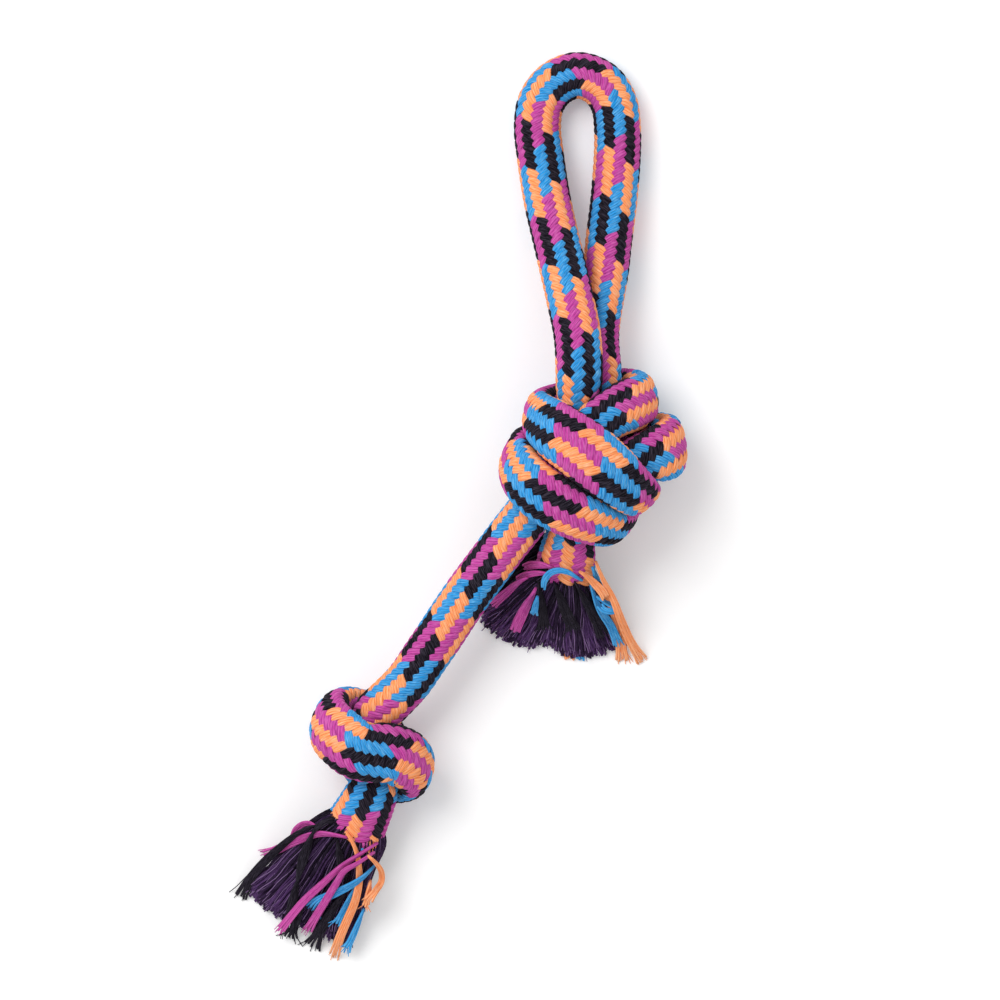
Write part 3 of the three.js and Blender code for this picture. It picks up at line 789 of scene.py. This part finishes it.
tassels = [
    {
        "name": "short", "body": "short_tassel", "stretch": "knot_short_run",
        "place": shortEnd + 0.12, "inward": 0.4, "neckSizes": (0.0112, 0.0078), "height": 0.0068,
        "yarns": 480, "hairs": 170, "seed": 3,
        "tips": [
            (0.0061, -0.0416), (0.0059, -0.0466), (0.0069, -0.0508), (0.0107, -0.0542), (0.0158, -0.0575),
            (0.0212, -0.0596), (0.0263, -0.0611), (0.0321, -0.0603), (0.0359, -0.0605), (0.0418, -0.0643),
            (0.0489, -0.0651), (0.0569, -0.0643), (0.0635, -0.062), (0.0692, -0.0603),
        ],
        "strands": [
            {"name": "black_gap", **besideNeck, "heights": (0.027, 0.009), "route": [
                (0.0392, -0.0122), (0.0335, -0.0134), (0.0275, -0.0182), (0.0215, -0.0242)]},
            {"name": "black_collar", **besideNeck, "heights": (0.024, 0.008), "route": [
                (0.039, -0.0172), (0.0325, -0.0185), (0.0255, -0.0232), (0.0195, -0.0285)]},
            {"name": "black_edge", **besideNeck, "heights": (0.023, 0.007), "route": [
                (0.039, -0.0202), (0.0325, -0.0225), (0.0245, -0.028), (0.0175, -0.0345)]},
            {"name": "black_under", **besideNeck, "heights": (0.0215, 0.007), "route": [
                (0.0375, -0.0235), (0.0305, -0.0265), (0.0225, -0.0325), (0.0155, -0.0395)]},
            {"name": "black_left", "plies": 8, "fine": 0.6, "route": [
                (0.0313, -0.0315), (0.0321, -0.0378), (0.0328, -0.0428), (0.0338, -0.0525)]},
            {"name": "black_middle", "plies": 9, "fine": 0.6, "route": [
                (0.0376, -0.0319), (0.0401, -0.0378), (0.0426, -0.0441), (0.0464, -0.0529)]},
            {"name": "black_right", "plies": 9, "fine": 0.6, "route": [
                (0.0464, -0.0319), (0.0502, -0.0386), (0.054, -0.0454), (0.059, -0.055)]},
            {"name": "orange_tip", "plies": 5, "splay": 0.3, "hairs": 0, "low": True, "route": [
                (0.0425, -0.0536), (0.0436, -0.0592), (0.0448, -0.0655)]},
            {"name": "blue_tip", "plies": 4, "splay": 0.3, "hairs": 0, "low": True, "route": [
                (0.0475, -0.0546), (0.0483, -0.0598), (0.0495, -0.0658)]},
            {"name": "magenta_collar", "plies": 4, **tucked, "route": [
                (0.0372, -0.026), (0.0326, -0.025), (0.0279, -0.0252), (0.025, -0.0263)]},
            {"name": "magenta_band", "plies": 3, **tucked, "route": [
                (0.0359, -0.0286), (0.0321, -0.0284), (0.0287, -0.0286), (0.025, -0.0296),
                (0.0221, -0.0311)]},
            {"name": "magenta", "plies": 6, "splay": 0.15, "wide": 0.85, "hairs": 0, "route": [
                (0.0303, -0.0346), (0.0284, -0.0386), (0.0262, -0.0424), (0.0233, -0.0483),
                (0.021, -0.0533)]},
            {"name": "magenta_short", "plies": 4, "splay": 0.3, "hairs": 0, "route": [
                (0.0268, -0.0303), (0.0242, -0.0315), (0.0215, -0.0334), (0.0183, -0.0364),
                (0.0151, -0.0392), (0.012, -0.0422)]},
            {"name": "blue_small", "plies": 3, "splay": 1.6, "hairs": 2, "route": [
                (0.0309, -0.0382), (0.0303, -0.0412), (0.0294, -0.0458)]},
            {"name": "blue_arc", "plies": 3, "rise": 0.002, **tucked, "route": [
                (0.0494, -0.0313), (0.0468, -0.0298), (0.0435, -0.0279), (0.0393, -0.0272),
                (0.0357, -0.0286), (0.0338, -0.0315), (0.0334, -0.0353)]},
            {"name": "blue_stub", "plies": 2, "hairs": 0, "route": [
                (0.0538, -0.026), (0.0548, -0.0286), (0.0565, -0.0319)]},
            {"name": "orange_second", "plies": 5, "route": [
                (0.0578, -0.0349), (0.0619, -0.0428), (0.065, -0.0512), (0.066, -0.0585),
                (0.0668, -0.0655)]},
            {"name": "blue", "plies": 4, "route": [
                (0.0531, -0.0332), (0.0552, -0.0395), (0.0575, -0.0445), (0.0615, -0.0504),
                (0.0651, -0.0588)]},
            {"name": "blue_loop", "plies": 3, "rise": 0.002, **tucked, "route": [
                (0.0557, -0.0382), (0.0594, -0.0407), (0.063, -0.0422), (0.0638, -0.0435),
                (0.062, -0.0443), (0.0586, -0.0437), (0.0565, -0.0416)]},
            {"name": "orange_long", "plies": 4, "route": [
                (0.0551, -0.0235), (0.0583, -0.0311), (0.0624, -0.0391), (0.066, -0.0483),
                (0.0699, -0.0571), (0.075, -0.0659)]},
            {"name": "orange_front", "plies": 4, **tucked, "route": [
                (0.0485, -0.0277), (0.0519, -0.03), (0.0552, -0.0332), (0.0578, -0.0361),
                (0.0596, -0.0395)]},
        ],
    },
    {
        "name": "end", "body": "end_tassel", "stretch": "end_knot",
        "place": endNeckPlace + 0.8, "inward": -0.4, "neckSizes": (0.0122, 0.0078), "height": 0.0068,
        "yarns": 540, "hairs": 190, "seed": 5,
        "tips": [
            (-0.0926, -0.1592), (-0.0914, -0.163), (-0.088, -0.1672), (-0.0834, -0.1709),
            (-0.0779, -0.1747), (-0.0729, -0.1768), (-0.0674, -0.1785), (-0.0611, -0.1814),
            (-0.0548, -0.1844), (-0.0498, -0.1869), (-0.0464, -0.1814), (-0.0426, -0.1722),
            (-0.0401, -0.1651),
        ],
        "strands": [
            {"name": "black_d", "plies": 5, "splay": 1.8, "route": [
                (-0.0473, -0.1592), (-0.0506, -0.1638), (-0.0544, -0.1688), (-0.0594, -0.1772),
                (-0.064, -0.1861)]},
            {"name": "black_e", "plies": 4, "splay": 1.8, "route": [
                (-0.0666, -0.1659), (-0.0691, -0.1722), (-0.0729, -0.1819)]},
            {"name": "black_c", "plies": 4, "route": [
                (-0.0525, -0.1399), (-0.0519, -0.1449), (-0.051, -0.1499), (-0.0498, -0.1562)]},
            {"name": "magenta_loop", "plies": 3, **tucked, "route": [
                (-0.0611, -0.1344), (-0.0645, -0.1329), (-0.0674, -0.1336), (-0.0699, -0.1357),
                (-0.0716, -0.1386)]},
            {"name": "magenta_left", "plies": 4, "route": [
                (-0.0481, -0.1388), (-0.054, -0.1376), (-0.0607, -0.1373), (-0.0687, -0.1399),
                (-0.0767, -0.1436), (-0.0842, -0.1478)]},
            {"name": "black_outer", "plies": 5, "splay": 1.4, "wide": 0.8, "route": [
                (-0.0599, -0.1336), (-0.0649, -0.1348), (-0.0695, -0.1373), (-0.0754, -0.142),
                (-0.0838, -0.1499), (-0.0897, -0.1571), (-0.0939, -0.1651)]},
            {"name": "black_thick", "plies": 5, "turns": 1, "wide": 0.9, "route": [
                (-0.054, -0.131), (-0.0582, -0.1325), (-0.062, -0.1357), (-0.0649, -0.142),
                (-0.0678, -0.1504), (-0.0708, -0.1634), (-0.0741, -0.181)]},
            {"name": "purple", "plies": 4, "route": [
                (-0.0401, -0.155), (-0.0422, -0.1617), (-0.0447, -0.1688), (-0.0494, -0.1848)]},
            {"name": "blue_middle", "plies": 4, "splay": 1.6, "route": [
                (-0.0439, -0.1575), (-0.046, -0.1621), (-0.0481, -0.1667), (-0.0531, -0.1768)]},
            {"name": "blue_right", "plies": 3, "route": [
                (-0.0418, -0.1693), (-0.0439, -0.1747), (-0.046, -0.1798), (-0.0494, -0.1869)]},
            {"name": "orange_long", "plies": 4, "splay": 0.5, "route": [
                (-0.0489, -0.1361), (-0.046, -0.1411), (-0.0441, -0.1466), (-0.0435, -0.1525),
                (-0.0435, -0.1575), (-0.0452, -0.1655), (-0.0481, -0.1726), (-0.0515, -0.1806),
                (-0.0544, -0.1898)]},
            {"name": "magenta_upper", "plies": 4, "splay": 0.7, "wide": 0.85, "route": [
                (-0.0359, -0.1411), (-0.0426, -0.1453), (-0.0489, -0.1495), (-0.0531, -0.1529),
                (-0.0594, -0.1588), (-0.0662, -0.1651), (-0.072, -0.1718), (-0.0775, -0.1785)]},
            {"name": "blue_across", "plies": 4, "splay": 1.6, "route": [
                (-0.0372, -0.1508), (-0.041, -0.1546), (-0.046, -0.1583), (-0.0515, -0.1613),
                (-0.0569, -0.1638), (-0.0611, -0.1659), (-0.064, -0.1697)]},
            {"name": "magenta_lower", "plies": 4, "splay": 0.7, "wide": 0.85, "route": [
                (-0.0372, -0.1449), (-0.0435, -0.1491), (-0.0498, -0.1529), (-0.0527, -0.1575),
                (-0.0561, -0.163), (-0.0594, -0.1684), (-0.0662, -0.1789)]},
            {"name": "orange_short", "plies": 3, "route": [
                (-0.0389, -0.1571), (-0.0397, -0.1625), (-0.041, -0.1684)]},
            {"name": "orange_curl", "plies": 3, "rise": 0.002, "route": [
                (-0.0397, -0.1462), (-0.0368, -0.1491), (-0.0344, -0.1529), (-0.0344, -0.1575),
                (-0.0368, -0.1613), (-0.0401, -0.1655)]},
        ],
    },
]


pileGrid = {
    "cell": 0.0008,
    "corner": (-0.12, -0.21),
    "cells": (300, 280),
    "margin": 3,  # cells along its edges that nothing lies on
    "shortNeckTo": 3,  # place on the rope up to which strands of the short tassel may lie on it
}


class Pile:
    # Heights of what lies on the floor so far, on a grid, so that the next strand is laid over it
    def __init__(self):
        self.heights = np.zeros(pileGrid["cells"])

    def cells(self, points):
        at = np.round((points[..., :2] - pileGrid["corner"]) / pileGrid["cell"]).astype(int)
        margin = pileGrid["margin"]
        return [np.clip(at[..., k], margin, size - margin - 1) for k, size in enumerate(pileGrid["cells"])]

    def add(self, points):
        column, row = self.cells(points)
        np.maximum.at(self.heights, (column.ravel(), row.ravel()), points[..., 2].ravel())

    def under(self, points, reach):
        column, row = self.cells(points)
        steps = range(-reach, reach + 1)
        return np.max([self.heights[column + i, row + j] for i in steps for j in steps], axis=0)


pile = Pile()
pile.add(surfacePoints[laid["places"] < pileGrid["shortNeckTo"]])
pile.add(surfacePoints[laid["places"] > endKnotPlace])


# Where a tassel leaves the rope: its place, and the directions out, across and up
def neckFrame(tassel):
    neck = np.array(spot(tassel["place"]))
    out = unit(neck - np.array(spot(tassel["place"] + tassel["inward"])))
    side = np.array([*tassel["tips"][-1], 0]) - [*tassel["tips"][0], 0]  # across the fan
    side = unit(side - side @ out * out)
    up = np.cross(side, out)
    return neck, out, side, up * math.copysign(1, up[2])


goldenAngle = math.pi * (3 - math.sqrt(5))  # spreads points evenly over a disc


# Yarns from the neck to the cut edge, as an array of yarn, ring, xyz, with where each ends along that
# edge and how high it starts, both from 0 to 1
def fringeLines(tassel, count, chance):
    neck, out, side, up = neckFrame(tassel)
    order = np.arange(count) + 0.5
    reach = np.sqrt(order / count)
    turn = order * goldenAngle
    across = reach * np.cos(turn)
    room = np.sqrt(1 - across**2)
    level = (reach * np.sin(turn) / room + 1) / 2
    tipAt = 0.5 + (np.arcsin(across) + across * room) / math.pi
    tipAt = np.clip(tipAt + chance.normal(0, fringe["tipScatterShare"], count), 0, 1)
    wide, high = tassel["neckSizes"]
    start = neck + side * (across * wide)[:, None] + up * (reach * np.sin(turn) * high)[:, None]
    edge = evenly(curveThrough([(*tip, 0) for tip in tassel["tips"]]), fringe["edgePoints"]) + routeShift
    edgeSteps = np.arange(fringe["edgePoints"])
    tip = np.stack([np.interp(tipAt * edgeSteps[-1], edgeSteps, row) for row in edge.T], axis=1)
    flat = (tip - neck) * [1, 1, 0]
    fan = unit(flat)
    tip -= fan * (level * fringe["cut"] + chance.uniform(0, fringe["unevenCut"], count))[:, None]
    crown = tassel["height"] * (1 - fringe["crownShare"] * (2 * tipAt - 1) ** 2)
    tip[:, 2] = fringe["lowest"] + level * crown
    length = np.linalg.norm(tip - start, axis=1)[:, None]
    outShare, fanShare, sideShare = fringe["leaveShares"]
    leaving = unit(out * outShare + fan * fanShare + side * (across * sideShare)[:, None])
    startShare, endShare = fringe["bendShares"]
    leave = start + leaving * length * startShare
    arrive = tip - fan * length * endShare
    arrive[:, 2] += level * fringe["arch"]
    t = np.linspace(0, 1, fringe["rings"])[:, None]
    lines = ((1 - t) ** 3 * start[:, None] + 3 * t * (1 - t) ** 2 * leave[:, None]
             + 3 * t**2 * (1 - t) * arrive[:, None] + t**3 * tip[:, None])
    phase = chance.uniform(0, 2 * math.pi, (count, 2))
    sway = np.sin(t[None, :, 0] * length * 2 * math.pi / fringe["wave"] + phase[:, :1])
    lift = np.sin(t[None, :, 0] * length * 2 * math.pi / fringe["wave"] + phase[:, 1:])
    lines += np.cross(fan, (0, 0, 1))[:, None] * (sway * t[:, 0] * fringe["wander"])[..., None]
    lines[..., 2] += lift * t[:, 0] * fringe["wander"] * fringe["waveHeightShare"]
    lines[..., 2] = np.maximum(lines[..., 2], fringe["lowest"])
    return lines, tipAt, level


def addFringe(tassel):
    chance = np.random.default_rng(tassel["seed"])
    lines, tipAt, level = fringeLines(tassel, tassel["yarns"], chance)
    hairLines = fringeLines(tassel, tassel["hairs"], chance)[0]
    hairLines[..., 2] += np.linspace(0, fringe["hairLift"], fringe["rings"])
    outward = np.linspace(0, 1, fringe["rings"])
    hairLines += chance.normal(0, fringe["hairScatter"], (tassel["hairs"], 1, 3)) * outward[:, None]
    firstBand, secondBand = fringe["darkBands"]
    secondHeight, secondStart = fringe["darkSecond"]
    bands = np.sin(tipAt * firstBand + level * fringe["darkRise"])
    dark = bands + secondHeight * np.sin(tipAt * secondBand + secondStart) > fringe["darkFrom"]
    slots = [*dark.astype(int), *[2] * tassel["hairs"]]
    radii = np.repeat([fringe["radius"], fringe["hairRadius"]], [tassel["yarns"], tassel["hairs"]])
    radii = radii * chance.uniform(*fringe["unevenYarns"], len(radii))
    radii = radii[:, None] * np.ones(fringe["rings"])
    owns = chance.uniform(0, 1, len(radii))
    rings, places = roundTubes(np.vstack([lines, hairLines]), radii, fringe["corners"], owns)
    materials = [fringeCotton[name] for name in fringeNames]
    # Along each yarn from neck to tip: the darker neck end is partly painted shade, the lighter tip the
    # yarn's own colour
    piece = tubesMesh(f"{tassel['name']}_fringe_yarns", rings, places, outward, materials, slots)
    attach(piece, tassel["body"])
    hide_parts(f"{tassel['name']}_fringe")
    fine = np.array([evenly(line, fringe["pilePoints"]) for line in lines])
    pile.add(fine + [0, 0, fringe["radius"]])
    return piece


# The middle of a loose strand, laid over what is already there
def strandMiddle(strand):
    count = strandMake["rings"]
    middle = evenly(curveThrough([(*point, 0) for point in strand["route"]]), count) + routeShift
    t = np.linspace(0, 1, count)
    if strand.get("heights"):
        middle[:, 2] = np.interp(t, (0, 1), strand["heights"])
    elif not strand.get("low"):
        height = pile.under(middle, strandMake["feel"])
        rounds, width = strandMake["bridging"]
        for _ in range(rounds):
            height = np.maximum(height, smoothed(height, width))
        height = np.maximum(smoothed(height, strandMake["easing"]), 0)
        root = (1 - ramp(t, 0, strandMake["rootShare"])) ** 2
        middle[:, 2] = height - strandMake["sunk"] - strandMake["rooted"] * root
    middle[:, 2] += strandMake["radius"] + strand.get("rise", 0) * np.sin(math.pi * t)
    return t, middle


# A piece of a line from one share of its length to another, which may be past its end
def taken(line, first, last):
    count = len(line)
    at = np.linspace(first, last, count) * (count - 1)
    inside = np.clip(at, 0, count - 1)
    points = np.stack([np.interp(inside, np.arange(count), line[:, k]) for k in range(3)], axis=1)
    points += (at - inside)[:, None] * (line[-1] - line[-2])
    points[:, 2] = np.maximum(points[:, 2], strandMake["radius"])
    return points


# A loose strand: a few plies side by side and loose hairs, with a splayed end
def addStrand(tassel, strand, chance):
    t, middle = strandMiddle(strand)
    length = lengthsAlong(middle)[-1]
    side = unit(np.cross(np.gradient(middle, axis=0), (0, 0, 1)))
    ending = ramp(t, strandMake["splayFromShare"]) ** 2
    splay = 1 + strand.get("splay", strandMake["splay"]) * ending
    turning = np.clip(1 - t * strandMake["turnRate"], 0, 1)
    turn = strand.get("turns", strandMake["turns"]) * 2 * math.pi * turning
    startWidth, fullFrom = strandMake["startShares"]
    widening = startWidth + (1 - startWidth) * ramp(t, 0, fullFrom)
    taperFrom, taperShare = strandMake["taperShares"]
    taper = 1 - taperShare * ramp(t, taperFrom)
    plies = strand["plies"]
    fine = strand.get("fine", 1)  # how thin its plies are, as a share of the usual
    lines, radii = [], []
    for i in range(plies + strand.get("hairs", strandMake["hairs"])):
        hair = i >= plies
        step = chance.uniform(-0.5, 0.5) * plies if hair else i - (plies - 1) / 2
        step += chance.uniform(-1, 1) * (1 - fine)
        across = step * strandMake["pitch"] * fine * splay * strand.get("wide", 1)
        across = across * widening
        strays = float(np.clip(chance.normal(), -strandMake["mostStray"], strandMake["mostStray"]))
        stray = strandMake["stray"][hair] * strays
        offset = side * (across * np.cos(turn) + stray * ending)[:, None]
        unlike = strandMake["rounding"] - fine
        over = strandMake["radius"] * unlike * abs(math.sin(strandMake["plyStep"] * i))
        offset[:, 2] += across * np.sin(turn) * strandMake["turnHeightShare"] + over
        if hair:
            reach = chance.uniform(strandMake["shortestHairShare"], 1) * strandMake["hairReach"]
            first, last = strandMake["hairFromShare"], 1 + reach / length
        else:
            first, last = 0, 1 - chance.uniform(0, 1) * strandMake["shorter"] / length
        lines.append(taken(middle + offset, first, last))
        radius = strandMake["hairRadius"] if hair else strandMake["radius"] * fine
        radii.append(radius * taper)
    owns = chance.uniform(0, 1, len(lines))
    rings, places = roundTubes(np.array(lines), np.array(radii), strandMake["corners"], owns)
    colour = strand["name"].split("_")[0]
    name = f"{tassel['name']}_strand_{strand['name']}"
    piece = tubesMesh(f"{name}_plies", rings, places, ramp(t, strandMake["frayFromShare"]),
                      [strandCotton[colour]], [0] * len(lines))
    if strand.get("heights"):  # it starts beside the neck, so it is handled as the neck's stretch is
        neck = next(stretch for stretch in stretches if stretch["name"] == tassel["stretch"])
        rideOrBlend(piece, neck)
    else:
        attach(piece, tassel["body"])
    "fringe_yarn" if colour == "purple" else f"{colour}_strand"
    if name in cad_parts:
        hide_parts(name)
    pile.add(rings)
    return piece


for tassel in tassels:
    chance = np.random.default_rng(tassel["seed"] + 1)
    made = [addFringe(tassel)]
    made += [addStrand(tassel, strand, chance) for strand in tassel["strands"]]
print("tassels laid")


def addStretch(stretch):
    start, end = (lengthTo(place) for place in stretch["places"])
    end = min(end, ropeLength)
    ragged = stretch["places"][0] == shortEnd, stretch["places"][1] == lastPlace
    rings, places, slots = braidRings(start, end, *ragged)
    materials = [cotton[name] for name in coverNames]
    cover = tubesMesh(f"{stretch['name']}_braid", rings, places, np.zeros(len(rings[0])), materials, slots)
    rings, places = coreRings(start, end)
    core = tubesMesh(f"{stretch['name']}_yarns", rings, places, np.zeros(len(rings[0])),
                     [fringeCotton["coreBlack"]], [0])
    for piece, suffix, slot in ((cover, "cover", "braided_cover"), (core, "core", "core_yarn")):
        rideOrBlend(piece, stretch)
        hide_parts(*(f"{node}_{suffix}" for node in stretch["nodes"]))
    end - start
    2 * rope["radius"]


for stretch in stretches:
    addStretch(stretch)
print("rope braided")

# Floor, lamps and background
studio = {
    "floorSize": 6.0,
    "floorColour": (0.9, 0.9, 0.9, 1),
    "floorGlow": 0.14,
    "skyColour": (0.74, 0.74, 0.74, 1),
    "white": (1, 1, 1, 1),
    "dark": (0, 0, 0, 1),
    "lampPlace": (-1.1, 0.9, 2.2),
    "lampSize": 1.4,
    "lampPower": 37,
}


def addFloor():
    floorMesh = bmesh.new()
    bmesh.ops.create_grid(floorMesh, x_segments=1, y_segments=1, size=studio["floorSize"] / 2)
    mesh = bpy.data.meshes.new("floor")
    floorMesh.to_mesh(mesh)
    floorMesh.free()
    floor = bpy.data.objects.new("floor", mesh)
    bpy.context.scene.collection.objects.link(floor)
    finish = Finish(bpy.data.materials.new("pale floor"))
    glow = finish.between(finish.inSight(), studio["dark"], studio["white"])
    finish.shade({"Base Color": studio["floorColour"], "Roughness": 1.0, "Emission Color": glow,
                  "Emission Strength": studio["floorGlow"]})
    mesh.materials.append(finish.owner)


def addLight():
    sky = Finish(bpy.data.worlds.new("studio"), "Background")
    sky.shade({"Color": sky.between(sky.inSight(), studio["skyColour"], studio["white"]), "Strength": 1.0})
    bpy.context.scene.world = sky.owner
    data = bpy.data.lights.new("lamp", "AREA")
    data.size = studio["lampSize"]
    data.energy = studio["lampPower"]
    lamp = bpy.data.objects.new("lamp", data)
    lamp.location = studio["lampPlace"]
    lamp.rotation_euler = (-Vector(studio["lampPlace"])).to_track_quat("-Z", "Y").to_euler()
    bpy.context.scene.collection.objects.link(lamp)


addFloor()
addLight()
bpy.context.scene.view_settings.view_transform = "Standard"
